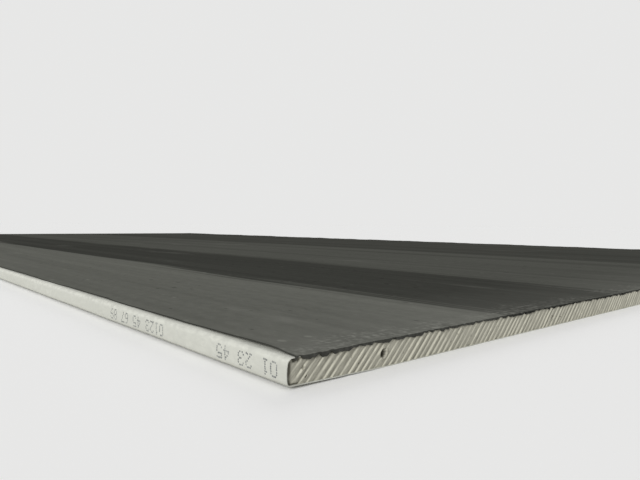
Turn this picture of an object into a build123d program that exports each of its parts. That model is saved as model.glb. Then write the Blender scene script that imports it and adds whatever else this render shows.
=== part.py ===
from build123d import *
import os

# Drywall sheet with tapered long edges, lying on its face with its back up.
# +X runs along the length, +Y across the width and +Z up, from the face to the back.
# The origin is the centre of the flat part of the face. All lengths are millimetres.

# Overall size of the finished sheet
sheet_length = 2400.0
sheet_width = 1200.0
sheet_thickness = 12.5

# Tapered long edges, on the face side only
taper_width = 55.0
taper_depth = 1.3

# Rounded folds of the wrapped long edge, and how far the wall between them bulges
face_fold_radius = 1.4
back_fold_radius = 1.8
edge_bulge = 0.5

# Paper liners
face_paper_thickness = 0.35
back_paper_thickness = 0.35
flap_width = 36.0

# How far the back paper stops short of the folds, so that it covers nearly all of both flaps
back_paper_setback = 2.2

# The wrapped outline ends under the back paper, which lies on top of it
wrapped_height = sheet_thickness - back_paper_thickness
half_width = sheet_width / 2


def long_edge_corners():
    """The two sharp corners of the right-hand long edge, at the face and at the back, before they are rounded."""
    at_face = (half_width - edge_bulge, taper_depth)
    at_back = (half_width - edge_bulge, wrapped_height)
    return at_face, at_back


def half_section():
    """Right-hand half of the section that the face paper wraps: flat face, taper, bulged edge and back."""
    at_face, at_back = long_edge_corners()
    middle_of_edge = (half_width, (at_face[1] + at_back[1]) / 2)
    flat_end = (half_width - taper_width, 0)
    outline = Curve() + [
        Line((0, 0), flat_end),
        Line(flat_end, at_face),
        ThreePointArc(at_face, middle_of_edge, at_back),
        Line(at_back, (0, wrapped_height)),
        Line((0, wrapped_height), (0, 0)),
    ]
    section = make_face(outline)
    folds = ((at_face, face_fold_radius), (at_back, back_fold_radius))
    for corner, radius in folds:
        vertex = section.vertices().sort_by_distance((*corner, 0))[0]
        section = fillet(vertex, radius)
    return section


def wrapped_section():
    """Whole section inside the outer surface of the face paper and its flaps."""
    right = half_section()
    return right + mirror(right, about=Plane.YZ)


def core_section(wrapped):
    """Section of the gypsum: inside the face paper, and up to the back paper between the two flaps."""
    inside = offset(wrapped, amount=-face_paper_thickness, kind=Kind.INTERSECTION)
    between_flaps = Rectangle(
        sheet_width - 2 * flap_width,
        wrapped_height / 2,
        align=(Align.CENTER, Align.MAX),
    ).locate(Pos(0, wrapped_height))
    return inside + between_flaps


def back_section():
    """Section of the back paper, which covers the flaps and stops a little short of the rounded folds."""
    margin = edge_bulge + back_fold_radius + back_paper_setback
    width = sheet_width - 2 * margin
    return Rectangle(width, back_paper_thickness, align=(Align.CENTER, Align.MIN)).locate(
        Pos(0, wrapped_height)
    )


def along_length(section):
    """Sweeps a section over the whole length of the sheet, centred on the origin."""
    return extrude(Plane.YZ * section, amount=sheet_length / 2, both=True)


wrapped = wrapped_section()
core = core_section(wrapped)

pieces = {
    "gypsum_core": along_length(core),
    "face_paper": along_length(wrapped - core),
    "back_paper": along_length(back_section()),
}

os.makedirs("parts", exist_ok=True)
for name, piece in pieces.items():
    export_step(piece, f"parts/{name}.step")
    size = piece.bounding_box().size
    print(name, "solids", len(piece.solids()), "size", size, "volume", round(piece.volume))
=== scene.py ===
"""A sheet of drywall that lies on its face with its back up, seen across its near corner.

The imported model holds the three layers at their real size: the gypsum core, the ivory face paper that
wraps both long edges and ends in flaps on the back, and the grey back paper that covers the flaps. This
script gives each layer its worked surface: saw marks and bubbles on the cut ends, torn and ragged paper
borders, soft folds, and plain numbers in dots of ink on a long edge. All lengths are metres, with +X
along the length, +Y across the width and +Z up.
"""

import logging
import math
import random
from abc import ABC, abstractmethod
from collections.abc import Iterable, Mapping, Sequence
from dataclasses import dataclass, field, replace
from enum import Enum
from typing import Any, ClassVar

import bmesh
import bpy
from bmesh.types import BMEdge, BMesh, BMLayerItem, BMVert
from mathutils import Matrix, Vector, noise
from mathutils.bvhtree import BVHTree

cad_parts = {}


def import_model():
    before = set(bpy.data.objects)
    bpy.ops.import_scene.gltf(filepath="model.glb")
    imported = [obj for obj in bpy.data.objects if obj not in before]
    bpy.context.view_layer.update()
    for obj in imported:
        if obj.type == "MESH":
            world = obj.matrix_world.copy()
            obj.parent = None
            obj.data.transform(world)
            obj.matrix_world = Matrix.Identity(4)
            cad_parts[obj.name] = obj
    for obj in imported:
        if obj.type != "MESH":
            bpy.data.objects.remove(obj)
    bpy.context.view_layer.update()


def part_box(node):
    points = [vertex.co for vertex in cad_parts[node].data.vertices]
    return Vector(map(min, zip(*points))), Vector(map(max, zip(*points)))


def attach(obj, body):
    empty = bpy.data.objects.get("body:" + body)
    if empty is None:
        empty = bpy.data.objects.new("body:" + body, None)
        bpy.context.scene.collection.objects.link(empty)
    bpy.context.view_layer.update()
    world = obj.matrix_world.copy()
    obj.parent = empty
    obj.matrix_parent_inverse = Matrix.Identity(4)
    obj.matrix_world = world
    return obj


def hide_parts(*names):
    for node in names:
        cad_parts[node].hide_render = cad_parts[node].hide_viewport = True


log = logging.getLogger("drywall")

MM = 0.001
ROOT_BODY = "root"

# A length too short to matter, which tells the points on a border from the rest
HAIR = 1e-6

# Noise is 0 at whole numbers, so it is read beside them, and the patterns of two seeds lie far apart in it
BESIDE_WHOLE = 0.37
SEED_STEP = 17.3

Triple = tuple[float, float, float]
Pair = tuple[float, float]


class Layer(Enum):
    """The three layers of the sheet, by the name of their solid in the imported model."""

    CORE = "gypsum_core"
    FACE_PAPER = "face_paper"
    BACK_PAPER = "back_paper"


class Slot(Enum):
    """Material slots of the record."""

    GYPSUM = "gypsum"
    FACE_PAPER = "face_paper"
    BACK_PAPER = "back_paper"


class CutEnd(Enum):
    """The two bare ends, by the way they face along X."""

    NEAR = 1
    FAR = -1


def smooth_step(value: float, start: float, end: float) -> float:
    """Rises smoothly from 0 at start to 1 at end, or falls where end is the smaller, and is level beyond."""
    share = min(1.0, max(0.0, (value - start) / (end - start)))
    return share * share * (3 - 2 * share)


def at_least(low: float, share: float) -> float:
    """Narrows a share, from 0 to 1, to the range from low to 1."""
    return low + (1 - low) * share


def crowded(share: float, crowding: float) -> float:
    """Moves even steps from 0 to 1 together at both ends, by a crowding from 0, not at all, to nearly 1."""
    return share - crowding * math.sin(2 * math.pi * share) / (2 * math.pi)


@dataclass(frozen=True)
class Ripple:
    """Smooth noise, given by the height and width of one bump and by which of a seed's patterns it is.

    The spread is the stretch of its values over which its share rises from 0 to 1.
    """

    height: float
    width: float
    pattern: int = 0
    spread: Pair = (0.0, 1.0)

    def at(self, place: Sequence[float], seed: float) -> float:
        """Reads the noise.

        Args:
            place: One or two coordinates in metres.
            seed: Picks another set of patterns of the same kind.

        Returns:
            A number that is mostly within 0.6 of the full height either way.
        """
        first, second = (*place, 0.0)[:2]
        level = SEED_STEP * (seed + self.pattern) + BESIDE_WHOLE
        return self.height * noise.noise(Vector((first / self.width, second / self.width, level)))

    def share(self, place: Sequence[float], seed: float) -> float:
        """How far the noise has risen through its spread, from 0 to 1."""
        return smooth_step(self.at(place, seed), *self.spread)


def ripple_sum(ripples: Iterable[Ripple], place: Sequence[float], seed: float) -> float:
    """The heights of several ripples at one place, added up."""
    return sum(ripple.at(place, seed) for ripple in ripples)


class Signal:
    """An output socket of a material that works in Python expressions, each of which adds a Math node."""

    def __init__(self, nodes: "Nodes", socket: bpy.types.NodeSocket) -> None:
        """Wraps an output socket and keeps the tree that it belongs to."""
        self.nodes = nodes
        self.socket = socket

    def _math(
        self, operation: str, first: "Signal | float", second: "Signal | float" = 0.0
    ) -> "Signal":
        """Adds one Math node, which works on two numbers or signals."""
        return self.nodes.add("ShaderNodeMath", {"operation": operation}, {0: first, 1: second})

    def __add__(self, other: "Signal | float") -> "Signal":
        """This signal plus another or a number."""
        return self._math("ADD", self, other)

    __radd__ = __add__

    def __mul__(self, other: "Signal | float") -> "Signal":
        """This signal times another or a number."""
        return self._math("MULTIPLY", self, other)

    __rmul__ = __mul__

    def __sub__(self, other: "Signal | float") -> "Signal":
        """This signal less another or a number."""
        return self._math("SUBTRACT", self, other)

    def __rsub__(self, other: "Signal | float") -> "Signal":
        """A number less this signal."""
        return self._math("SUBTRACT", other, self)

    def __pow__(self, other: "Signal | float") -> "Signal":
        """This signal raised to another or a number."""
        return self._math("POWER", self, other)

    def __abs__(self) -> "Signal":
        """The signal's distance from 0."""
        return self._math("ABSOLUTE", self)

    def step(self, start: float, end: float) -> "Signal":
        """Rises smoothly from 0 at start to 1 at end, or falls where end is the smaller.

        Args:
            start: Where the change begins.
            end: Where it is complete.

        Returns:
            A signal from 0 to 1.
        """
        settings = {"interpolation_type": "SMOOTHSTEP"}
        low, high, at_low, at_high = (start, end, 0.0, 1.0) if start < end else (end, start, 1.0, 0.0)
        sockets = {"Value": self, "From Min": low, "From Max": high, "To Min": at_low, "To Max": at_high}
        return self.nodes.add("ShaderNodeMapRange", settings, sockets)


class Nodes:
    """A node tree, with one method that adds any node to it."""

    def __init__(self, tree: bpy.types.NodeTree) -> None:
        """Wraps a tree."""
        self.tree = tree

    def add(
        self,
        kind: str,
        settings: Mapping[str, Any] | None = None,
        sockets: Mapping[str | int, Any] | None = None,
        output: str | int = 0,
    ) -> Signal:
        """Adds a node, sets it up and connects it.

        Args:
            kind: The node's type.
            settings: Properties of the node, set before its sockets.
            sockets: A value or a signal for each named or numbered input.
            output: The output to give back.

        Returns:
            The chosen output.
        """
        node = self.tree.nodes.new(kind)
        for name, value in (settings or {}).items():
            setattr(node, name, value)
        for name, value in (sockets or {}).items():
            self.connect(node.inputs[name], value)
        return Signal(self, node.outputs[output])

    def connect(self, target: bpy.types.NodeSocket, value: Any) -> None:
        """Links a signal to an input, or sets the input's own value.

        Args:
            target: The input socket.
            value: A signal, number, colour or vector.
        """
        if isinstance(value, Signal):
            self.tree.links.new(value.socket, target)
        elif isinstance(value, tuple) and target.type == "RGBA":
            target.default_value = (*value, 1.0)
        else:
            target.default_value = value

    def seen(self) -> Signal:
        """Tells what the camera sees from light that bounces.

        Returns:
            A signal of 1 for what is seen straight, mirrored or through glass, and 0 for the rest.
        """
        kinds = ("Is Camera Ray", "Is Glossy Ray", "Is Transmission Ray")
        straight, mirrored, through = (self.add("ShaderNodeLightPath", output=kind) for kind in kinds)
        return (straight + mirrored + through).step(0.0, 1.0)


@dataclass(frozen=True)
class Grain:
    """Noise in a material, by the width of one blotch and how many finer octaves it has.

    A blotch may be so many times longer along X, or along a Y that is turned about X by an angle. Where there
    is a spread, the noise rises from 0 to 1 over that stretch of its values. Otherwise it stays around 0.5.
    """

    size: float
    octaves: int
    spread: Pair | None = None
    along: float = 1.0
    aside: float = 1.0
    turn: float = 0.0


@dataclass(frozen=True)
class Flecks:
    """Scattered spots in a material, by the mean distance between the places where a spot may be.

    They are of uneven size, up to the radius, and may be so many times longer along X. Their rarity is 1 for
    as many large spots as small ones, and more for fewer, most of them small.
    """

    spacing: float
    radius: float
    along: float = 1.0
    rarity: float = 1.0


class Shader(Nodes):
    """A material with a Principled surface.

    Each finer octave of its noise has the octave share of the last one's strength, and the spots have a soft
    edge that is as wide, either way, as the spot blur's share of their spacing.
    """

    octave_share: ClassVar[float] = 0.55
    spot_blur: ClassVar[float] = 0.05

    def __init__(self, name: str) -> None:
        """Starts a material.

        Args:
            name: The material's name.
        """
        self.material = bpy.data.materials.new(name)
        self.material.use_nodes = True
        super().__init__(self.material.node_tree)
        self.surface = self.tree.nodes["Principled BSDF"]
        self.place = self.add("ShaderNodeTexCoord", output="Object")

    def axis(self, name: str) -> Signal:
        """One of the piece's own coordinates, X, Y or Z."""
        return self.add("ShaderNodeSeparateXYZ", None, {"Vector": self.place}, name)

    def attribute(self, name: str) -> Signal:
        """A number that the mesh holds at each point."""
        return self.add("ShaderNodeAttribute", {"attribute_name": name}, None, "Fac")

    def scaled_place(self, scale: Triple, turn: float = 0.0) -> Signal:
        """The piece's own coordinates in units of a scale along X, Y and Z, which are turned about X."""
        sockets = {"Vector": self.place, "Rotation": (turn, 0.0, 0.0), "Scale": scale}
        return self.add("ShaderNodeMapping", {"vector_type": "TEXTURE"}, sockets)

    def grain(self, kind: Grain) -> Signal:
        """Noise on the piece's own coordinates.

        Args:
            kind: Its sizes.

        Returns:
            A signal from 0 to 1.
        """
        scale = (kind.size * kind.along, kind.size * kind.aside, kind.size)
        sockets = {"Vector": self.scaled_place(scale, kind.turn), "Scale": 1.0}
        sockets |= {"Detail": kind.octaves, "Roughness": self.octave_share}
        level = self.add("ShaderNodeTexNoise", None, sockets)
        return level if kind.spread is None else level.step(*kind.spread)

    def flecks(self, kind: Flecks) -> Signal:
        """Spots on the piece's own coordinates.

        Args:
            kind: Their sizes.

        Returns:
            A signal that is 1 inside a spot and 0 outside.
        """
        place = self.scaled_place((kind.spacing * kind.along, kind.spacing, kind.spacing))
        sockets = {"Vector": place, "Scale": 1.0, "Randomness": 1.0}
        centre = self.add("ShaderNodeTexVoronoi", {"feature": "F1"}, sockets, "Distance")
        own_colour = self.add("ShaderNodeTexVoronoi", {"feature": "F1"}, sockets, "Color")
        chance = self.add("ShaderNodeSeparateColor", None, {"Color": own_colour})
        reach = chance**kind.rarity * (kind.radius / kind.spacing)
        return (centre - reach).step(self.spot_blur, -self.spot_blur)

    def tint(
        self, amount: Signal | float, first: Signal | Triple, second: Signal | Triple, blend: str = "MIX"
    ) -> Signal:
        """Mixes two colours by a blend type of the Mix node, where amount is the share of the second."""
        settings = {"data_type": "RGBA", "blend_type": blend, "clamp_factor": True}
        return self.add("ShaderNodeMix", settings, {0: amount, 6: first, 7: second}, 2)

    def scaled(self, amount: Signal, colour: Signal | Triple, share: float) -> Signal:
        """Multiplies a colour by a share, which may be over 1, where amount is 1, and by less elsewhere."""
        return self.tint(amount, colour, (share, share, share), "MULTIPLY")

    def bump(self, height: Signal, distance: float, strength: float) -> Signal:
        """Turns a height into a normal, where a height of 1 is a distance in metres."""
        sockets = {"Height": height, "Distance": distance, "Strength": strength}
        return self.add("ShaderNodeBump", None, sockets)

    def finish(
        self, colour: Signal, roughness: Signal | float, specular: float, normal: Signal | None = None
    ) -> bpy.types.Material:
        """Connects the surface.

        Args:
            colour: Its colour.
            roughness: From 0, a mirror, to 1, quite matt.
            specular: How strongly it shines, where 0.5 is usual.
            normal: The direction that it faces, with its relief.

        Returns:
            The finished material.
        """
        sockets = {"Base Color": colour, "Roughness": roughness, "Specular IOR Level": specular}
        if normal is not None:
            sockets["Normal"] = normal
        for name, value in sockets.items():
            self.connect(self.surface.inputs[name], value)
        return self.material


def shade(colour: Triple, share: float) -> Triple:
    """The colour times a share, darker below 1 and lighter above."""
    return tuple(channel * share for channel in colour)


@dataclass(frozen=True)
class GypsumFinish:
    """Sawn foamed gypsum: warm grey and dusty, with painted highlights on the crests of the saw marks and
    painted shade in its pores and hollows.

    The mesh holds its painted light, from -1, painted shade in grooves, bubbles, chipped borders and corners,
    to
    1, a painted highlight on a crest, which is partly also the whiter gypsum of a freshly scraped crest.
    """

    colour: Triple = (0.49, 0.477, 0.398)
    painted_shade_colour: Triple = (0.13, 0.125, 0.10)
    pore_shade_colour: Triple = (0.26, 0.25, 0.21)
    pale_and_highlight_gain: float = 1.42
    clouds: Grain = Grain(60 * MM, 3, (0.30, 0.70))
    cloud_shares: Pair = (0.93, 1.05)
    dust: Grain = Grain(4 * MM, 3, (0.30, 0.72))
    crystal: Grain = Grain(0.7 * MM, 2)
    scratches: Grain = Grain(0.7 * MM, 2, aside=22.0, turn=math.radians(45))
    pores: Flecks = Flecks(9 * MM, 1.6 * MM)
    specks: Flecks = Flecks(6 * MM, 1.2 * MM)
    relief: float = 0.30 * MM
    painted_light_attribute: ClassVar[str] = "painted_light"

    def make(self) -> bpy.types.Material:
        """Builds the material.

        Returns:
            The material.
        """
        shader = Shader("sawn_gypsum")
        clouds = shader.grain(self.clouds)
        dust = shader.grain(self.dust)
        crystal = shader.grain(self.crystal)
        scratches = shader.grain(self.scratches)
        pores = shader.flecks(self.pores)
        specks = shader.flecks(self.specks)
        painted_light = shader.attribute(self.painted_light_attribute)
        colour = shader.tint(clouds, *(shade(self.colour, share) for share in self.cloud_shares))
        # The last layer is the painted highlight on the saw marks' crests, partly the scraped gypsum's
        # whiteness
        for amount, share in (
            (dust * 0.5, 1.10),
            (crystal.step(0.62, 0.35) * 0.3, 0.8),
            (scratches.step(0.50, 0.64) * 0.35, self.pale_and_highlight_gain),
            (scratches.step(0.48, 0.34) * 0.30, 0.70),
            (specks * 0.4, 1.20),
            (painted_light.step(0.0, 0.9), self.pale_and_highlight_gain),
        ):
            colour = shader.tint(amount, colour, shade(self.colour, share))
        # Painted shade in the pores, then the mesh's painted shade in grooves, bubbles, chipped borders and
        # corners
        colour = shader.tint(pores * 0.6, colour, self.pore_shade_colour)
        colour = shader.tint(painted_light.step(0.0, -1.0), colour, self.painted_shade_colour)
        height = crystal * 0.4 + dust * 0.3 + scratches * 0.9 - pores * 0.9
        normal = shader.bump(height, self.relief, strength=0.8)
        return shader.finish(colour, roughness=0.95, specular=0.12, normal=normal)


@dataclass(frozen=True)
class IvoryPaperFinish:
    """Ivory face paper, finely fibred and softly mottled, with painted highlights on its rubbed upper folds,
    darker low.
    """

    sheet_half_width: float
    colour: Triple = (0.675, 0.68, 0.615)
    low_edge_colour: Triple = (0.40, 0.39, 0.34)
    clouds: Grain = Grain(120 * MM, 3, (0.32, 0.68))
    cloud_shares: Pair = (0.96, 1.03)
    blotches: Grain = Grain(7.5 * MM, 3, (0.34, 0.68), along=2.0)
    mottle: Grain = Grain(2.6 * MM, 2, (0.32, 0.68), along=1.5)
    fibres: Grain = Grain(0.45 * MM, 2, along=9.0)
    scuffs: Grain = Grain(18 * MM, 4, (0.60, 0.74), along=3.0)
    rubs: Grain = Grain(3 * MM, 3, (0.30, 0.68), along=1.4)
    low_edge_blotches: Grain = Grain(15 * MM, 3, along=2.0)
    low_edge_top: float = 4.0 * MM
    low_edge_width: float = 12.0 * MM
    fold_heights: Pair = (8.8 * MM, 11.2 * MM)
    fold_width: float = 3.0 * MM
    fold_rim: float = 1.2 * MM
    relief: float = 0.12 * MM

    def make(self) -> bpy.types.Material:
        """Builds the material.

        Returns:
            The material.
        """
        shader = Shader("ivory_face_paper")
        up, side = shader.axis("Z"), abs(shader.axis("Y"))
        clouds = shader.grain(self.clouds)
        blotches = shader.grain(self.blotches)
        mottle = shader.grain(self.mottle)
        fibres = shader.grain(self.fibres)
        scuffs = shader.grain(self.scuffs)
        rubs = shader.grain(self.rubs)
        low_edge_blotches = shader.grain(self.low_edge_blotches)
        low_edge_start, fold_start, fold_end = (
            self.sheet_half_width - inwards for inwards in (self.low_edge_width, self.fold_width, self.fold_rim)
        )
        # The upper folds get a painted highlight, mixed with rubbing, and the long edges are darker towards
        # the bottom
        at_fold = up.step(*self.fold_heights) * side.step(fold_start, fold_end)
        low_edge = up.step(self.low_edge_top, 0.0) * side.step(low_edge_start, fold_start)
        colour = shader.tint(clouds, *(shade(self.colour, share) for share in self.cloud_shares))
        for amount, share in (
            (blotches * 0.5, 0.90),
            (mottle * 0.5, 0.89),
            (fibres.step(0.55, 0.75) * 0.4, 0.84),
            (scuffs * 0.3, 0.80),
            (at_fold * rubs, 1.11),
        ):
            colour = shader.tint(amount, colour, shade(self.colour, share))
        # Darker towards the bottom of the long edges, in blotches
        colour = shader.tint(low_edge * low_edge_blotches * 0.9, colour, self.low_edge_colour)
        normal = shader.bump(fibres * 0.35 + mottle * 0.65, self.relief, strength=0.7)
        return shader.finish(colour, roughness=0.74 + 0.12 * mottle, specular=0.22, normal=normal)


@dataclass(frozen=True)
class GreyPaperFinish:
    """Dark grey back paper: a pale lane along the near edge, darker lanes beyond, streaks, flecks and dust.

    A lane is given by where it ends, measured from the near long edge, and its share of the full colour. The
    rest of the sheet comes first, and the lanes bend and feather by their reaches. Dust lies at the cut ends.
    The mesh holds a number that rises to 1 at the paper's torn and cut borders, which get painted shade.
    """

    sheet_half_length: float
    sheet_half_width: float
    colour: Triple = (0.133, 0.135, 0.119)
    dust_colour: Triple = (0.42, 0.42, 0.38)
    rest_share: float = 0.47
    lanes: tuple[Pair, ...] = ((680 * MM, 0.62), (330 * MM, 0.40), (150 * MM, 1.0))
    lane_blur: float = 12 * MM
    bend: Grain = Grain(300 * MM, 2, along=3.0)
    bend_reach: float = 80 * MM
    feather: Grain = Grain(12 * MM, 3, along=45.0)
    feather_reach: float = 100 * MM
    bands: Grain = Grain(60 * MM, 2, (0.36, 0.64), along=40.0)
    clouds: Grain = Grain(180 * MM, 4, (0.30, 0.70), along=1.8)
    streaks: Grain = Grain(10 * MM, 3, (0.30, 0.70), along=50.0)
    mottle: Grain = Grain(6 * MM, 3, (0.30, 0.70), along=1.5)
    fibres: Grain = Grain(0.5 * MM, 2, along=8.0)
    dark_flecks: Flecks = Flecks(9 * MM, 1.8 * MM, along=1.8, rarity=4.0)
    pale_flecks: Flecks = Flecks(12 * MM, 2.0 * MM, along=1.4, rarity=4.0)
    rubs: Grain = Grain(50 * MM, 5, (0.60, 0.78), along=3.0)
    rub_share: float = 0.12
    drift: Grain = Grain(45 * MM, 5, along=2.0)
    drift_reach: float = 100 * MM
    drift_share: float = 0.16
    powder: Grain = Grain(3 * MM, 6, (0.42, 0.78))
    powder_reach: float = 20 * MM
    powder_share: float = 0.4
    border_shade_share: float = 0.34
    relief: float = 0.08 * MM
    border_attribute: ClassVar[str] = "border"

    def make(self) -> bpy.types.Material:
        """Builds the material.

        Returns:
            The material.
        """
        shader = Shader("grey_back_paper")
        bend = (shader.grain(self.bend) - 0.5) * self.bend_reach
        feather = (shader.grain(self.feather) - 0.5) * self.feather_reach
        from_edge = shader.axis("Y") + self.sheet_half_width + bend + feather
        bands = shader.grain(self.bands)
        clouds = shader.grain(self.clouds)
        streaks = shader.grain(self.streaks)
        mottle = shader.grain(self.mottle)
        fibres = shader.grain(self.fibres)
        dark_flecks = shader.flecks(self.dark_flecks)
        pale_flecks = shader.flecks(self.pale_flecks)
        rubs = shader.grain(self.rubs)
        powder = shader.grain(self.powder)
        drift = shader.grain(self.drift)
        from_end = self.sheet_half_length - abs(shader.axis("X")) + (drift - 0.5) * self.drift_reach
        drifted = from_end.step(self.drift_reach, 0.0) * drift * self.drift_share
        powdered = from_end.step(self.powder_reach, 0.0) * powder * self.powder_share
        colour = shade(self.colour, self.rest_share)
        for width, share in self.lanes:
            inside = from_edge.step(width + self.lane_blur, width - self.lane_blur)
            colour = shader.tint(inside, colour, shade(self.colour, share))
        for amount, share in (
            (bands * 0.9, 1.22),
            (clouds * 0.5, 1.10),
            (streaks * 0.5, 1.22),
            (mottle * 0.5, 0.82),
            (fibres.step(0.55, 0.75) * 0.4, 1.5),
            (dark_flecks * 0.7, 0.5),
            (pale_flecks * 0.5, 1.8),
        ):
            colour = shader.scaled(amount, colour, share)
        colour = shader.tint(rubs * self.rub_share, colour, self.dust_colour)
        colour = shader.tint(drifted + powdered, colour, self.dust_colour)
        # Painted shade on the torn and cut borders and on the fringe folded down over the end
        border = shader.attribute(self.border_attribute)
        colour = shader.scaled(border.step(0.45, 0.95), colour, self.border_shade_share)
        normal = shader.bump(fibres * 0.6 + mottle * 0.4, self.relief, strength=0.8)
        return shader.finish(colour, roughness=0.86 + 0.08 * clouds, specular=0.0, normal=normal)


@dataclass(frozen=True)
class InkFinish:
    """Grey printing ink that has dried unevenly on the paper."""

    colour: Triple = (0.15, 0.16, 0.16)
    worn_colour: Triple = (0.44, 0.45, 0.42)
    wear: Grain = Grain(6 * MM, 3, (0.40, 0.68))
    patches: Grain = Grain(0.6 * MM, 2, (0.45, 0.70))

    def make(self) -> bpy.types.Material:
        """Builds the material.

        Returns:
            The material.
        """
        shader = Shader("grey_ink")
        faded = shader.grain(self.wear) * 0.7 + shader.grain(self.patches) * 0.3
        colour = shader.tint(faded, self.colour, self.worn_colour)
        return shader.finish(colour, roughness=0.7, specular=0.2)


@dataclass(frozen=True)
class SheetSection:
    """Sizes that the three layers share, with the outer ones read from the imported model."""

    half_length: float
    half_width: float
    thickness: float
    taper_width: float = 55.0 * MM
    taper_depth: float = 1.3 * MM
    face_fold: float = 1.4 * MM
    back_fold: float = 1.8 * MM
    bulge: float = 0.5 * MM
    paper: float = 0.35 * MM
    flap_width: float = 36.0 * MM
    back_setback: float = 2.2 * MM

    @classmethod
    def from_frame(cls) -> "SheetSection":
        """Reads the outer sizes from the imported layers.

        Returns:
            The sizes.
        """
        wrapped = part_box(Layer.FACE_PAPER.value)[1]
        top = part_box(Layer.BACK_PAPER.value)[1].z
        return cls(half_length=wrapped.x, half_width=wrapped.y, thickness=top)

    @property
    def wrapped_height(self) -> float:
        """Height of the folded flaps, on which the back paper lies."""
        return self.thickness - self.paper

    @property
    def wall(self) -> float:
        """Distance of the long edge's corners from the middle line, before the edge bulges."""
        return self.half_width - self.bulge

    @property
    def taper_start(self) -> float:
        """Distance from the middle line at which the face begins to taper."""
        return self.half_width - self.taper_width

    @property
    def flap_end(self) -> float:
        """Distance of the flaps' free borders from the middle line."""
        return self.half_width - self.flap_width

    @property
    def back_reach(self) -> float:
        """Distance of the back paper's long borders from the middle line."""
        return self.wall - self.back_fold - self.back_setback

    def bulge_at(self, up: float) -> float:
        """Shape of the long edge's bulge.

        Args:
            up: Height.

        Returns:
            How far the edge stands out beyond its corners there.
        """
        middle = (self.taper_depth + self.wrapped_height) / 2
        reach = (self.wrapped_height - self.taper_depth) / 2
        return self.bulge * max(0.0, 1 - ((up - middle) / reach) ** 2)

    def core_bottom(self, across: float) -> float:
        """The core's lower side, with its taper and its rounded corner.

        Args:
            across: Distance from the middle line.

        Returns:
            The height there.
        """
        into_taper = max(0.0, across - self.taper_start)
        slope = self.taper_depth / (self.taper_width - self.bulge)
        return self.paper + slope * into_taper + self._rounding(across, self.face_fold)

    def core_top(self, across: float) -> float:
        """Height of the core's upper side at a distance from the middle line."""
        flap = self.paper if across > self.flap_end else 0.0
        return self.wrapped_height - flap - self._rounding(across, self.back_fold)

    def _rounding(self, across: float, outer_radius: float) -> float:
        """The core's rounded corner, inside a fold of the face paper.

        Args:
            across: Distance from the middle line.
            outer_radius: Radius of the fold's outer side.

        Returns:
            How far the corner has left the side that it joins.
        """
        radius = outer_radius - self.paper
        reach = min(radius, max(0.0, across - (self.wall - self.paper - radius)))
        return radius - math.sqrt(radius**2 - reach**2)


@dataclass(frozen=True)
class Void:
    """An air bubble in the gypsum that the saw has opened, by its place on the end, radius and depth.

    It is a bowl with a slight rim. Its slopes are stretches of the distance from its middle, in radii.
    """

    across: float
    up: float
    radius: float
    depth: float
    bowl_slope: ClassVar[Pair] = (1.0, 0.5)
    rim_inside: ClassVar[Pair] = (0.8, 1.1)
    rim_outside: ClassVar[Pair] = (1.5, 1.15)
    rim_share: ClassVar[float] = 0.10

    def relief(self, across: float, up: float) -> float:
        """Shape of the bubble.

        Args:
            across: Place along the end.
            up: Height.

        Returns:
            How far it moves the cut face out, negative in the bowl.
        """
        away = math.hypot(across - self.across, up - self.up) / self.radius
        bowl = -self.depth * smooth_step(away, *self.bowl_slope)
        rim = self.rim_share * self.depth
        return bowl + rim * smooth_step(away, *self.rim_outside) * smooth_step(away, *self.rim_inside)


@dataclass(frozen=True)
class SawMarks:
    """The slanting marks of the saw, each with a short steep side and a long easy one.

    They wander by so many pitches. Each has its own strength and steepness, which come from noise that is
    read at a step from mark to mark, along a row. A mark has broken stretches, where it is weaker. Its crest
    gets a painted highlight, over a span in widths of the steep side, partly for the scraped gypsum's
    whiteness, and its groove painted shade, over a span in pitches.
    """

    seed: int
    pitch: float = 4.4 * MM
    depth: float = 0.44 * MM
    wander: tuple[Ripple, ...] = (Ripple(2.0, 300 * MM), Ripple(0.30, 11 * MM, 1))
    strength: float = 0.85
    strength_swing: float = 0.8
    strength_row: Pair = (0.71, 3.1)
    least_strength: float = 0.3
    steep_share: float = 0.21
    steep_swing: float = 0.7
    steep_row: Pair = (0.57, 8.3)
    breaks: Ripple = Ripple(1.0, 8 * MM, 6, (-0.40, 0.05))
    broken_share: float = 0.65
    crest_span: Pair = (0.4, 1.7)
    crest_highlight: float = 0.8
    groove_span: Pair = (0.45, 0.85)
    groove_shade: float = 0.48

    def own(self, number: float, row: Pair) -> float:
        """Noise that is one mark's own, by the mark's number and the noise's step and row."""
        return noise.noise(Vector((number * row[0], self.seed, row[1])))

    def at(self, across: float, up: float, sawn: float) -> tuple[float, float]:
        """The saw marks at a point.

        Args:
            across: Place along the end.
            up: Height.
            sawn: How strongly the saw has marked the gypsum there, from 0 to 1.

        Returns:
            Height in metres, from minus half to half of the marks' depth, and the painted light.
        """
        aside, along = across - up, across + up
        number, share = divmod(aside / self.pitch + ripple_sum(self.wander, (aside,), self.seed), 1.0)
        own = self.strength + self.strength_swing * self.own(number, self.strength_row)
        whole = self.breaks.share((along, number * MM), self.seed)
        strength = max(self.least_strength, own) * at_least(self.broken_share, whole) * sawn
        steep = self.steep_share * (1 + self.steep_swing * self.own(number, self.steep_row))
        rise = smooth_step(share, 0.0 if share < steep else 1.0, steep)
        start, end = (side * steep for side in self.crest_span)
        crest = smooth_step(share, 0.0, start) * smooth_step(share, end, steep)
        groove = smooth_step(share, *self.groove_span)
        # Painted highlight on the crest and painted shade in the groove
        painted_light = strength * (self.crest_highlight * crest - self.groove_shade * groove)
        return strength * self.depth * (rise - 0.5), painted_light


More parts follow.
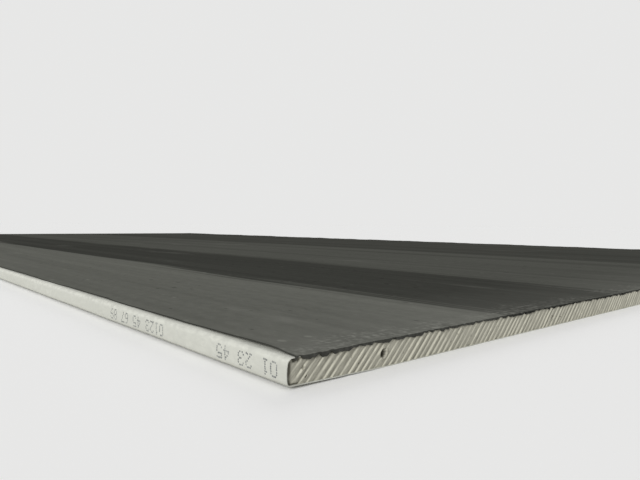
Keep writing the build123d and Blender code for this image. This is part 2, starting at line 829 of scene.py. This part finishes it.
@dataclass
class CutFace:
    """The sawn surface of one end: saw marks, opened bubbles and crumbled borders, with painted shade in the
    bubbles and crumbled borders and near the corners, darkest in a painted shadow line at each corner.

    The marks are faint at the corners and in patches, and the borders crumble most under the back, near a
    corner. The blowhole is one large bubble, with its place across measured from the -Y corner.
    """

    section: SheetSection
    seed: int
    blowhole: Void | None = None
    setback: float = 0.12 * MM
    marked: Pair = (2.0 * MM, 7.0 * MM)
    corner_marks: float = 0.12
    patch_marks: float = 0.35
    patches: Ripple = Ripple(1.0, 110 * MM, 5, (-0.55, 0.0))
    grit: tuple[Ripple, ...] = (Ripple(0.07 * MM, 1.5 * MM, 2), Ripple(0.05 * MM, 0.8 * MM, 3))
    waves: Ripple = Ripple(0.25 * MM, 150 * MM, 4)
    corner_reach: float = 6.5 * MM
    corner_drop: float = 0.30 * MM
    corner_shade_strength: float = 0.30
    corner_shadow_reach: Pair = (2.6 * MM, 0.5 * MM)
    corner_shadow_strength: float = 0.9
    corner_shadow_base: float = 0.9
    corner_shadow_ripple: Ripple = Ripple(1.0, 2.5 * MM, 13)
    large_voids: int = 6
    small_voids: int = 34
    large_radii: Pair = (1.0 * MM, 1.7 * MM)
    small_radii: Pair = (0.45 * MM, 0.85 * MM)
    void_heights: Pair = (0.2, 0.8)
    void_depths: Pair = (0.9, 1.3)
    void_margin: float = 6.0 * MM
    void_cell: float = 6.0 * MM
    void_shade_strength: float = 1.2
    void_shade: Pair = (0.45 * MM, 1.1 * MM)
    chip_depth: float = 1.0 * MM
    chip_reach: float = 1.5 * MM
    chip_share: float = 0.35
    chipped_corner: float = 40.0 * MM
    low_chip_gain: float = 0.5
    low_chip_reach: float = 1.05 * MM
    low_chip_share: float = 0.1
    chip_shade_strength: float = 0.9
    chip_shade: Pair = (0.08 * MM, 0.6 * MM)
    chips: Ripple = Ripple(1.0, 5 * MM, 9, (0.0, 0.4))
    crumbled: float = 0.6
    crumbs: Ripple = Ripple(1.0, 1.4 * MM, 11)
    marks: SawMarks = field(init=False)
    voids: dict[int, list[Void]] = field(default_factory=dict)

    def __post_init__(self) -> None:
        """Sets up the marks, adds the blowhole where there is one, and scatters the bubbles over the end."""
        self.marks = SawMarks(self.seed)
        if self.blowhole is not None:
            self.add_void(replace(self.blowhole, across=self.blowhole.across - self.section.half_width))
        draw = random.Random(self.seed)
        for index in range(self.large_voids + self.small_voids):
            radius = draw.uniform(*(self.large_radii if index < self.large_voids else self.small_radii))
            across = draw.uniform(-1, 1) * (self.section.half_width - self.void_margin)
            up = draw.uniform(*self.void_heights) * self.section.thickness
            self.add_void(Void(across, up, radius, radius * draw.uniform(*self.void_depths)))

    def add_void(self, void: Void) -> None:
        """Keeps a bubble under the stretch of the end that it lies in."""
        self.voids.setdefault(round(void.across / self.void_cell), []).append(void)

    def sawn_share(self, across: float) -> float:
        """How strongly the saw has marked the gypsum.

        Args:
            across: Place along the end.

        Returns:
            A share from nearly 0 at the corners to 1.
        """
        inside = smooth_step(self.section.wall - abs(across), *self.marked)
        patch = self.patches.share((across,), self.seed)
        return at_least(self.corner_marks, inside) * at_least(self.patch_marks, patch)

    def chip(self, across: float, up: float) -> float:
        """Shape of the crumbled borders.

        Args:
            across: Place along the end.
            up: Height.

        Returns:
            How far the face stands out, 0 or negative.
        """
        side, here = abs(across), (across, up)
        gain = 1 + smooth_step(self.section.wall - side, self.chipped_corner, 0.0)
        below_top = smooth_step(self.section.core_top(side) - up, gain * self.chip_reach, 0.0)
        above_low = smooth_step(up - self.section.core_bottom(side), self.low_chip_reach, 0.0)
        chipped = self.chips.share(here, self.seed)
        loss = gain * below_top * at_least(self.chip_share, chipped)
        loss += self.low_chip_gain * above_low * at_least(self.low_chip_share, chipped)
        return -self.chip_depth * loss * (self.crumbled + self.crumbs.at(here, self.seed))

    def void_relief(self, across: float, up: float) -> float:
        """Shape of all the bubbles.

        Args:
            across: Place along the end.
            up: Height.

        Returns:
            How far they move the cut face out, negative in a bowl.
        """
        cell = round(across / self.void_cell)
        near = (void for step in (-1, 0, 1) for void in self.voids.get(cell + step, ()))
        return sum(void.relief(across, up) for void in near)

    def relief(self, across: float, up: float) -> tuple[float, float]:
        """Shape of the cut face at a point.

        Args:
            across: Place along the end.
            up: Height.

        Returns:
            How far the face stands out, in metres, and its painted light, from -1, painted shade, to 1, a
            painted highlight.
        """
        here, inward = (across, up), self.section.wall - abs(across)
        mark, painted_light = self.marks.at(across, up, self.sawn_share(across))
        void, chip = self.void_relief(across, up), self.chip(across, up)
        grit, wave = ripple_sum(self.grit, here, self.seed), self.waves.at((across,), self.seed)
        corner = smooth_step(inward, self.corner_reach, 0.0)
        corner_shadow = self.corner_shadow_base + self.corner_shadow_ripple.at(here, self.seed)
        corner_shadow *= smooth_step(inward, *self.corner_shadow_reach)
        out = mark + void + chip + grit + wave - self.setback - self.corner_drop * corner
        # Painted shade in the bubbles, the chipped borders and near the corners, with a painted shadow line
        # at each corner
        painted_light -= self.void_shade_strength * smooth_step(-void, *self.void_shade)
        painted_light -= self.chip_shade_strength * smooth_step(-chip, *self.chip_shade)
        painted_light -= self.corner_shade_strength * corner + self.corner_shadow_strength * corner_shadow
        return out, min(1.0, max(-1.0, painted_light))


def placed(name: str, data: bpy.types.ID) -> bpy.types.Object:
    """Makes an object and links it to the scene.

    Args:
        name: The object's name.
        data: Its mesh, lamp or camera.

    Returns:
        The object, at the origin.
    """
    made = bpy.data.objects.new(name, data)
    bpy.context.scene.collection.objects.link(made)
    return made


def dressed(name: str, mesh: BMesh, finish: bpy.types.Material) -> bpy.types.Object:
    """Makes an object of a mesh and its material.

    Args:
        name: The object's name.
        mesh: Its mesh, which is freed.
        finish: Its material.

    Returns:
        The object, at the origin.
    """
    data = bpy.data.meshes.new(name)
    mesh.to_mesh(data)
    mesh.free()
    data.materials.append(finish)
    return placed(name, data)


def drawn_out(mesh: BMesh, edges: Sequence[BMEdge]) -> list[BMVert]:
    """Extrudes edges and gives back the new points, which are still where the old ones are."""
    drawn = bmesh.ops.extrude_edge_only(mesh, edges=edges)["geom"]
    return [item for item in drawn if isinstance(item, BMVert)]


@dataclass
class Piece(ABC):
    """A piece of the sheet. Each kind builds its own mesh and makes its own finish."""

    section: SheetSection
    name: ClassVar[str]
    slot: ClassVar[Slot]
    replaced: ClassVar[Layer | None] = None
    sharp_angle: ClassVar[float] = math.radians(50)

    @abstractmethod
    def build(self) -> BMesh:
        """Builds the piece's closed mesh."""

    @abstractmethod
    def finish(self) -> bpy.types.Material:
        """Makes the piece's material."""

    def make(self) -> bpy.types.Object:
        """Builds the piece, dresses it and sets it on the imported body.

        Returns:
            The finished object.
        """
        piece = dressed(self.name, self.build(), self.finish())
        piece.data.shade_smooth()
        piece.data.set_sharp_from_angle(angle=self.sharp_angle)
        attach(piece, ROOT_BODY)
        if self.replaced is not None:
            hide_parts(self.replaced.value)
        return piece


@dataclass(frozen=True)
class EndMesh:
    """How finely one sawn end is divided, the seed of its marks, and its blowhole."""

    end: CutEnd
    columns: int
    rows: int
    seed: int
    blowhole: Void | None = None


@dataclass
class GypsumBoard(Piece):
    """The core: two sawn ends joined by the plain sides that the papers cover."""

    name = "core_board"
    slot = Slot.GYPSUM
    replaced = Layer.CORE
    ends: tuple[EndMesh, ...] = (
        EndMesh(CutEnd.NEAR, 2100, 34, 20, blowhole=Void(53 * MM, 6.2 * MM, 2.1 * MM, 4.62 * MM)),
        EndMesh(CutEnd.FAR, 1500, 12, 4),
    )
    lean_fade: float = 14.0 * MM
    crowding: float = 0.60
    wall_blend: float = 3.0 * MM

    def place(self, share_across: float, share_up: float) -> tuple[float, float]:
        """Where a point of an even grid lies on the end, with its columns leaning as the saw marks do.

        Args:
            share_across: From 0 at the -Y corner to 1 at the +Y corner.
            share_up: From 0 at the lower side to 1 at the upper.

        Returns:
            The point's place across and its height.
        """
        inner_wall = self.section.wall - self.section.paper
        upright = inner_wall * (2 * crowded(share_across, self.crowding) - 1)
        room = inner_wall - abs(upright)
        lean = smooth_step(room, 0.0, self.lean_fade) * (share_up - 0.5) * self.section.thickness
        across = upright + lean
        side = abs(across)
        low, high = self.section.core_bottom(side), self.section.core_top(side)
        up = low + share_up * (high - low)
        swell = self.section.bulge_at(up) * smooth_step(room, self.wall_blend, 0.0)
        return across + math.copysign(swell, across), up

    def cut_end(self, mesh: BMesh, part: EndMesh, painted_light: BMLayerItem) -> None:
        """Adds one sawn end to the mesh.

        Args:
            mesh: The mesh to add to.
            part: Which end, and how finely it is divided.
            painted_light: The layer that keeps each point's painted light and shade.
        """
        face = CutFace(self.section, part.seed, part.blowhole)
        grid = bmesh.ops.create_grid(mesh, x_segments=part.columns, y_segments=part.rows, size=1.0)
        for vertex in grid["verts"]:
            across, up = self.place((vertex.co.x + 1) / 2, (vertex.co.y + 1) / 2)
            out, vertex[painted_light] = face.relief(across, up)
            vertex.co = (part.end.value * (self.section.half_length + out), across, up)

    def build(self) -> BMesh:
        """Builds the closed mesh of the core.

        Returns:
            The mesh.
        """
        mesh = bmesh.new()
        painted_light = mesh.verts.layers.float.new(GypsumFinish.painted_light_attribute)
        for part in self.ends:
            self.cut_end(mesh, part, painted_light)
        bmesh.ops.bridge_loops(mesh, edges=[edge for edge in mesh.edges if edge.is_boundary])
        bmesh.ops.recalc_face_normals(mesh, faces=mesh.faces)
        return mesh

    def finish(self) -> bpy.types.Material:
        """Makes the core's material."""
        return GypsumFinish().make()


@dataclass(frozen=True)
class PaperBurr:
    """The ragged line that the saw leaves along a paper's cut end, in tufts and groups of tufts."""

    proud: float = 0.20 * MM
    raggedness: float = 0.42 * MM
    tuft: float = 1.9 * MM
    fine_share: float = 0.8
    group_tufts: float = 6.0
    group_share: float = 0.6
    least: float = 0.02 * MM
    seed: float = 0.0

    def reach(self, across: float, up: float = 0.0) -> float:
        """How far the paper stands out beyond the sheet's end.

        Args:
            across: Place along the end.
            up: Height.

        Returns:
            The distance in metres.
        """
        groups = Ripple(self.group_share, self.group_tufts * self.tuft)
        tufts = Ripple(self.fine_share, self.tuft, 1)
        ragged = ripple_sum((groups, tufts), (across, up), self.seed)
        return max(self.least, self.proud + self.raggedness * ragged)


def split_end_columns(mesh: BMesh, columns: Iterable[tuple[float, int]]) -> None:
    """Divides the paper's last row of faces at each end into narrower columns, for a ragged border.

    Args:
        mesh: The paper, whose rows lie at constant x.
        columns: The least width of a column, with how many cuts it gets, the widest first.
    """
    rows = sorted({round(abs(vertex.co.x) / HAIR) for vertex in mesh.verts})
    inner = (rows[-2] - 1) * HAIR
    for least_width, cuts in columns:
        wide = [
            edge
            for edge in mesh.edges
            if min(abs(vertex.co.x) for vertex in edge.verts) > inner
            and abs(edge.verts[0].co.x - edge.verts[1].co.x) < HAIR
            and edge.calc_length() > least_width
        ]
        bmesh.ops.subdivide_edges(mesh, edges=wide, cuts=cuts, use_grid_fill=True)


@dataclass
class FaceLiner(Piece):
    """The ivory face paper: flat under the sheet, tapered, and wrapped round both long edges onto the back.

    The straight runs of its outline get their cuts from the shortest run to the longest. Its long edges are
    wavy, with dents, and with crimps along the upper fold. The surface is there once the paper is built, for
    what is printed on it.
    """

    name = "face_liner"
    slot = Slot.FACE_PAPER
    replaced = Layer.FACE_PAPER
    burr: PaperBurr = PaperBurr()
    steps: int = 520
    crowding: float = 0.80
    fold_segments: int = 6
    run_cuts: tuple[int, ...] = (9, 4, 5, 3)
    end_columns: tuple[tuple[float, int], ...] = ((20 * MM, 15), (4 * MM, 2))
    waves: tuple[Ripple, ...] = (
        Ripple(0.14 * MM, 70 * MM),
        Ripple(0.07 * MM, 14 * MM, 1),
        Ripple(0.03 * MM, 4 * MM, 2),
    )
    dent_depth: float = 0.22 * MM
    dents: Ripple = Ripple(1.0, 22 * MM, 4, (0.38, 0.60))
    crimp_depth: float = 0.30 * MM
    crimps: Ripple = Ripple(1.0, 5 * MM, 6, (0.0, 0.5))
    seed: int = 21
    far_edge_seed: int = 24
    surface: BVHTree | None = None

    def half_outline(self, mesh: BMesh) -> None:
        """Draws the outline from the sheet's middle line to the flap's free border, with its folds rounded.

        Args:
            mesh: The mesh that the wire is drawn in.
        """
        size = self.section
        corners = (
            (0.0, 0.0),
            (size.taper_start, 0.0),
            (size.wall, size.taper_depth),
            (size.wall, size.wrapped_height),
            (size.flap_end, size.wrapped_height),
        )
        points = [mesh.verts.new((0.0, across, up)) for across, up in corners]
        for pair in zip(points, points[1:]):
            mesh.edges.new(pair)
        for point, radius in ((points[2], size.face_fold), (points[3], size.back_fold)):
            bmesh.ops.bevel(
                mesh,
                geom=[point],
                offset=radius,
                offset_type="OFFSET",
                segments=self.fold_segments,
                profile=0.5,
                affect="VERTICES",
                material=-1,
            )
        straight_runs = sorted(mesh.edges, key=lambda edge: edge.calc_length())[-len(self.run_cuts) :]
        for run, cuts in zip(straight_runs, self.run_cuts):
            bmesh.ops.subdivide_edges(mesh, edges=[run], cuts=cuts)
        for vertex in mesh.verts:
            if vertex.co.y > size.wall - size.back_fold / 2:
                vertex.co.y += size.bulge_at(vertex.co.z)

    def sweep(self, mesh: BMesh) -> None:
        """Mirrors the half outline and draws it along the sheet, in steps that crowd towards the ends.

        It is drawn from -1 to 1 first, and stretched to the sheet's length afterwards.

        Args:
            mesh: The mesh that holds the half outline.
        """
        bmesh.ops.mirror(mesh, geom=mesh.verts[:] + mesh.edges[:], axis="Y", merge_dist=HAIR)
        bmesh.ops.translate(mesh, verts=mesh.verts, vec=(-1.0, 0.0, 0.0))
        bmesh.ops.translate(mesh, verts=drawn_out(mesh, mesh.edges[:]), vec=(2.0, 0.0, 0.0))
        lengthwise = [edge for edge in mesh.edges if edge.calc_length() > 1.0]
        bmesh.ops.subdivide_edges(mesh, edges=lengthwise, cuts=self.steps - 1, use_grid_fill=True)
        for vertex in mesh.verts:
            step = round((vertex.co.x + 1) / 2 * self.steps)
            share = crowded(step / self.steps, self.crowding)
            vertex.co.x = self.section.half_length * (2 * share - 1)

    def wrinkle(self, place: Vector) -> float:
        """How far the paper of the long edges stands out of its plain shape.

        Args:
            place: A point of the paper.

        Returns:
            The distance in metres, negative in a dent.
        """
        size, side = self.section, abs(place.y)
        if side < size.taper_start:
            return 0.0
        seed = self.far_edge_seed if place.y > 0 else self.seed
        here, fold_start = (place.x, place.z + side), size.wall - size.back_fold
        dent = -self.dent_depth * self.dents.share(here, seed)
        at_fold = smooth_step(side, fold_start, size.wall)
        at_fold *= smooth_step(place.z, size.wrapped_height - size.back_fold, size.wrapped_height)
        crimp = -self.crimp_depth * at_fold * self.crimps.share((place.x,), seed)
        started = smooth_step(side, size.taper_start, fold_start)
        return started * (ripple_sum(self.waves, here, seed) + dent) + crimp

    def end_reach(self, place: Vector) -> float:
        """How far the cut end stands out, which is least on the part of the flaps under the back paper.

        Args:
            place: A point of the end.

        Returns:
            The distance in metres.
        """
        size = self.section
        covered = place.z > size.wrapped_height - 2 * size.paper and abs(place.y) < size.back_reach
        return self.burr.least if covered else self.burr.reach(place.y, place.z)

    def build(self) -> BMesh:
        """Builds the closed mesh of the paper and keeps its surface.

        Returns:
            The mesh.
        """
        mesh = bmesh.new()
        self.half_outline(mesh)
        self.sweep(mesh)
        bmesh.ops.recalc_face_normals(mesh, faces=mesh.faces)
        lowest = min(mesh.faces, key=lambda face: face.calc_center_median().z)
        if lowest.normal.z > 0:
            bmesh.ops.reverse_faces(mesh, faces=mesh.faces)
        mesh.normal_update()
        moves = [(vertex, vertex.normal * self.wrinkle(vertex.co)) for vertex in mesh.verts]
        for vertex, move in moves:
            vertex.co += Vector((0.0, move.y, max(move.z, -vertex.co.z)))
        bmesh.ops.solidify(mesh, geom=mesh.faces[:], thickness=self.section.paper)
        split_end_columns(mesh, self.end_columns)
        for vertex in mesh.verts:
            if abs(vertex.co.x) > self.section.half_length - HAIR:
                vertex.co.x += math.copysign(self.end_reach(vertex.co), vertex.co.x)
        self.surface = BVHTree.FromBMesh(mesh)
        return mesh

    def finish(self) -> bpy.types.Material:
        """Makes the paper's material."""
        return IvoryPaperFinish(self.section.half_width).make()


@dataclass
class BackLiner(Piece):
    """The grey back paper, which covers the flaps up to the folds.

    Its long borders stray from their lines and lift a little. Its cut ends are a torn fringe that the saw has
    folded down over the core, in steps of so much of the way out and down, lowest near the corners.
    """

    name = "back_liner"
    slot = Slot.BACK_PAPER
    replaced = Layer.BACK_PAPER
    burr: PaperBurr = PaperBurr(proud=0.50 * MM, raggedness=0.45 * MM, tuft=1.6 * MM, seed=4.0)
    fold_steps: tuple[Pair, ...] = ((0.65, 0.25), (0.35, 0.75))
    droop: float = 1.05 * MM
    least_droop: float = 0.15
    tears: Ripple = Ripple(1.4, 3 * MM, 20)
    loose_corner: float = 45.0 * MM
    corner_gain: float = 0.6
    curl: float = 0.65 * MM
    curl_width: float = 6.0 * MM
    curl_fade: float = 14.0 * MM
    least_curl: float = 0.1
    loosening: tuple[Ripple, ...] = (Ripple(1.6, 70 * MM, 3), Ripple(0.8, 21 * MM))
    straying: tuple[Ripple, ...] = (Ripple(0.8 * MM, 260 * MM), Ripple(0.4 * MM, 31 * MM, 5))
    waves: tuple[Ripple, ...] = (Ripple(0.16 * MM, 120 * MM, 1), Ripple(0.06 * MM, 28 * MM, 2))
    steps: int = 240
    columns: int = 116
    crowding: float = 0.45
    side_crowding: float = 0.80
    end_columns: tuple[tuple[float, int], ...] = ((6 * MM, 15), (2 * MM, 3))
    seed: int = 40

    def lift(self, place: Vector) -> float:
        """How far the paper's surface stands above its plane, most where a long border lifts.

        Args:
            place: A point of the paper.

        Returns:
            The distance in metres.
        """
        loose = 1.0 + ripple_sum(self.loosening, (place.x,), self.seed)
        at_border = smooth_step(self.section.back_reach - abs(place.y), self.curl_width, 0.0)
        at_border *= smooth_step(self.section.half_length - abs(place.x), 0.0, self.curl_fade)
        waves = ripple_sum(self.waves, (place.x, place.y), self.seed)
        return waves + self.curl * max(self.least_curl, loose) * at_border

    def hang(self, across: float) -> float:
        """How far the torn fringe hangs down.

        Args:
            across: Place across the sheet.

        Returns:
            The distance in metres.
        """
        near_corner = smooth_step(self.section.back_reach - abs(across), self.loose_corner, 0.0)
        torn = max(self.least_droop, 1 + self.tears.at((across,), self.seed))
        return self.droop * (1 + self.corner_gain * near_corner) * torn

    def fringe(self, mesh: BMesh, border: BMLayerItem) -> None:
        """Draws the cut ends out into the torn fringe.

        Args:
            mesh: The paper's surface, whose ends are still straight.
            border: The layer that keeps how near each point is to a border of the paper.
        """
        last = self.section.half_length - HAIR
        cut = [edge for edge in mesh.edges if all(abs(vertex.co.x) > last for vertex in edge.verts)]
        for out_share, down_share in self.fold_steps:
            tips = set(drawn_out(mesh, cut))
            cut = [edge for edge in mesh.edges if tips.issuperset(edge.verts)]
            for vertex in tips:
                out, down = self.burr.reach(vertex.co.y), self.hang(vertex.co.y)
                vertex.co.x += math.copysign(out_share * out, vertex.co.x)
                vertex.co.z -= down_share * down
                vertex[border] = 1.0

    def build(self) -> BMesh:
        """Builds the closed mesh of the paper.

        Returns:
            The mesh.
        """
        size = self.section
        mesh = bmesh.new()
        border = mesh.verts.layers.float.new(GreyPaperFinish.border_attribute)
        bmesh.ops.create_grid(mesh, x_segments=self.steps, y_segments=self.columns, size=1.0)
        for vertex in mesh.verts:
            along = size.half_length * (2 * crowded((vertex.co.x + 1) / 2, self.crowding) - 1)
            across = size.back_reach * (2 * crowded((vertex.co.y + 1) / 2, self.side_crowding) - 1)
            if abs(vertex.co.y) > 1 - HAIR:
                across += ripple_sum(self.straying, (along,), self.seed + round(vertex.co.y))
                vertex[border] = 1.0
            vertex.co = (along, across, size.thickness)
        split_end_columns(mesh, self.end_columns)
        self.fringe(mesh, border)
        for vertex in mesh.verts:
            vertex.co.z += self.lift(vertex.co)
        bmesh.ops.recalc_face_normals(mesh, faces=mesh.faces)
        if next(iter(mesh.faces)).normal.z < 0:
            bmesh.ops.reverse_faces(mesh, faces=mesh.faces)
        bmesh.ops.solidify(mesh, geom=mesh.faces[:], thickness=size.paper)
        return mesh

    def finish(self) -> bpy.types.Material:
        """Makes the paper's material."""
        return GreyPaperFinish(self.section.half_length, self.section.half_width).make()


# Ten plain digits, row by row from the top, with a # for each dot
DIGIT_ROWS = {
    "0": (".###.", "#...#", "#...#", "#...#", "#...#", "#...#", ".###."),
    "1": ("..#..", ".##..", "..#..", "..#..", "..#..", "..#..", ".###."),
    "2": (".###.", "#...#", "....#", "...#.", "..#..", ".#...", "#####"),
    "3": (".###.", "#...#", "....#", "..##.", "....#", "#...#", ".###."),
    "4": ("...#.", "..##.", ".#.#.", "#..#.", "#####", "...#.", "...#."),
    "5": ("#####", "#....", "####.", "....#", "....#", "#...#", ".###."),
    "6": ("..##.", ".#...", "#....", "####.", "#...#", "#...#", ".###."),
    "7": ("#####", "....#", "...#.", "..#..", "..#..", ".#...", ".#..."),
    "8": (".###.", "#...#", "#...#", ".###.", "#...#", "#...#", ".###."),
    "9": (".###.", "#...#", "#...#", ".####", "....#", "...#.", ".##.."),
}


@dataclass
class EdgeNumbers(Piece):
    """Plain numbers in rows of small ink dots on the near long edge, upside down as the sheet is face down.

    A run of digits starts at its distance from the near corner. Some dots are missing, and none is quite in
    line. A dot is a low cone, laid on the paper from outside.
    """

    name = "edge_numbers"
    slot = Slot.FACE_PAPER
    paper: FaceLiner
    runs: tuple[tuple[float, str], ...] = ((6.0 * MM, "01 23 45"), (104.0 * MM, "0123 45 67 89"))
    dot_pitch: float = 0.92 * MM
    dot_radius: float = 0.49 * MM
    dot_thickness: float = 0.03 * MM
    dot_top_share: float = 0.8
    dot_sides: int = 9
    advance: float = 5.7 * MM
    lowest_row: float = 3.7 * MM
    jitter: float = 0.06 * MM
    missing_share: float = 0.06
    clearance: float = 5.0 * MM
    seed: int = 8

    def dot(self, mesh: BMesh, along: float, up: float) -> None:
        """Lays one dot of ink on the paper.

        Args:
            mesh: The mesh to add to.
            along: Place along the sheet.
            up: Height.
        """
        outside = Vector((along, -self.section.half_width - self.clearance, up))
        spot, normal, _, _ = self.paper.surface.ray_cast(outside, Vector((0.0, 1.0, 0.0)))
        turn = normal.to_track_quat("Z", "Y").to_matrix().to_4x4()
        bmesh.ops.create_cone(
            mesh,
            cap_ends=True,
            segments=self.dot_sides,
            radius1=self.dot_radius,
            radius2=self.dot_top_share * self.dot_radius,
            depth=self.dot_thickness,
            matrix=Matrix.Translation(spot) @ turn,
        )

    def build(self) -> BMesh:
        """Builds the dots of every run.

        Returns:
            The mesh of closed dots.
        """
        mesh = bmesh.new()
        draw = random.Random(self.seed)
        for from_corner, text in self.runs:
            for number, character in enumerate(text):
                left = self.section.half_length - from_corner - number * self.advance
                for row, cells in enumerate(DIGIT_ROWS.get(character, ())):
                    for column, cell in enumerate(cells):
                        if cell == "." or draw.random() < self.missing_share:
                            continue
                        along = left - column * self.dot_pitch + draw.gauss(0, self.jitter)
                        up = self.lowest_row + row * self.dot_pitch + draw.gauss(0, self.jitter)
                        self.dot(mesh, along, up)
        return mesh

    def finish(self) -> bpy.types.Material:
        """Makes the ink's material."""
        return InkFinish().make()


@dataclass(frozen=True)
class PhotoCamera:
    """The photograph's camera, from the points where the sheet's two horizontal directions vanish.

    Pixels are those of the 640 by 480 frame, and the depth is a real size along the camera's axis.
    """

    frame_width: float = 640.0
    frame_height: float = 480.0
    long_edge_vanishing: Pair = (-153.5, 220.8)
    cut_end_vanishing: Pair = (944.6, 229.8)
    near_corner_pixel: Pair = (286.3, 357.7)
    near_corner_depth: float = 0.20
    sensor_width: float = 36.0
    nearest: float = 0.01

    def ray(self, pixel: Pair, focal: float) -> Vector:
        """Direction of a pixel, one unit deep, with X to the right, Y down and the focal length in pixels."""
        right, down = pixel[0] - self.frame_width / 2, pixel[1] - self.frame_height / 2
        return Vector((right / focal, down / focal, 1.0))

    def make(self, near_corner: Vector) -> None:
        """Creates the camera.

        Args:
            near_corner: The sheet's top corner that the camera looks at, in the sheet's frame.
        """
        one, other = self.ray(self.long_edge_vanishing, 1.0), self.ray(self.cut_end_vanishing, 1.0)
        focal = math.sqrt(-(one.x * other.x + one.y * other.y))
        along = -self.ray(self.long_edge_vanishing, focal).normalized()
        up = along.cross(self.ray(self.cut_end_vanishing, focal)).normalized()
        to_sheet = Matrix((along, up.cross(along), up))
        place = near_corner - to_sheet @ self.ray(self.near_corner_pixel, focal) * self.near_corner_depth
        turn = to_sheet @ Matrix.Diagonal((1.0, -1.0, -1.0))
        data = bpy.data.cameras.new("photo_camera")
        data.sensor_width = self.sensor_width
        data.lens = focal / self.frame_width * self.sensor_width
        data.clip_start = self.nearest
        camera = placed("photo_camera", data)
        camera.matrix_world = Matrix.Translation(place) @ turn.to_4x4()
        bpy.context.scene.camera = camera


@dataclass(frozen=True)
class Lamp:
    """A distant soft lamp. A white surface that faces it renders at its level, where 1 is white."""

    name: str
    towards: Triple
    level: float
    spread: float = math.radians(28)

    def make(self) -> None:
        """Creates the lamp."""
        data = bpy.data.lights.new(self.name, "SUN")
        data.energy = self.level * math.pi
        data.angle = self.spread
        lamp = placed(self.name, data)
        lamp.rotation_mode = "QUATERNION"
        lamp.rotation_quaternion = Vector(self.towards).to_track_quat("Z", "Y")


@dataclass(frozen=True)
class Studio:
    """A pale floor that fades into a pale surround, with a soft key lamp in front and a weak one behind.

    The surround and the floor have colours of their own for what is seen straight, mirrored or through glass.
    """

    camera: PhotoCamera = PhotoCamera()
    lamps: tuple[Lamp, ...] = (
        Lamp("key_lamp", (0.19, -0.46, 0.24), 0.55),
        Lamp("back_lamp", (-0.5, 0.6, 0.35), 0.14),
    )
    surround_colour: Triple = (1.0, 1.0, 1.0)
    surround_level: float = 0.42
    seen_surround: Triple = (0.80, 0.80, 0.795)
    floor_colour: Triple = (0.80, 0.80, 0.79)
    seen_floor_colour: Triple = (1.117, 1.117, 1.11)
    floor_size: float = 80.0

    def floor(self) -> None:
        """Makes the floor."""
        mesh = bmesh.new()
        bmesh.ops.create_grid(mesh, x_segments=1, y_segments=1, size=self.floor_size / 2)
        shader = Shader("pale_floor")
        colour = shader.tint(shader.seen(), self.floor_colour, self.seen_floor_colour)
        dressed("floor", mesh, shader.finish(colour, roughness=1.0, specular=0.0))

    def surround(self) -> None:
        """Makes the world: even light on the sheet, and a pale background where the camera sees it."""
        world = bpy.data.worlds.new("surround")
        world.use_nodes = True
        bpy.context.scene.world = world
        nodes = Nodes(world.node_tree)
        nodes.tree.nodes.clear()
        light = {"Color": self.surround_colour, "Strength": self.surround_level}
        pale = {"Color": self.seen_surround}
        lit, shown = (nodes.add("ShaderNodeBackground", None, sockets) for sockets in (light, pale))
        mixed = nodes.add("ShaderNodeMixShader", None, {0: nodes.seen(), 1: lit, 2: shown})
        end = nodes.tree.nodes.new("ShaderNodeOutputWorld")
        nodes.connect(end.inputs["Surface"], mixed)

    def build(self, section: SheetSection) -> None:
        """Builds the studio round the sheet.

        Args:
            section: The sheet's sizes.
        """
        self.camera.make(Vector((section.half_length, -section.half_width, section.thickness)))
        for lamp in self.lamps:
            lamp.make()
        self.floor()
        self.surround()
        bpy.context.scene.view_settings.view_transform = "Standard"


def main() -> None:
    """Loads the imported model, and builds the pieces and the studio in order."""
    logging.basicConfig(level=logging.INFO, format="%(message)s")
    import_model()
    section = SheetSection.from_frame()
    face = FaceLiner(section)
    for piece in (GypsumBoard(section), face, EdgeNumbers(section, face), BackLiner(section)):
        polygons = piece.make().data.polygons
        log.info("%s: %d triangles", piece.name, sum(len(polygon.vertices) - 2 for polygon in polygons))
    Studio().build(section)


if __name__ == "__main__":
    main()
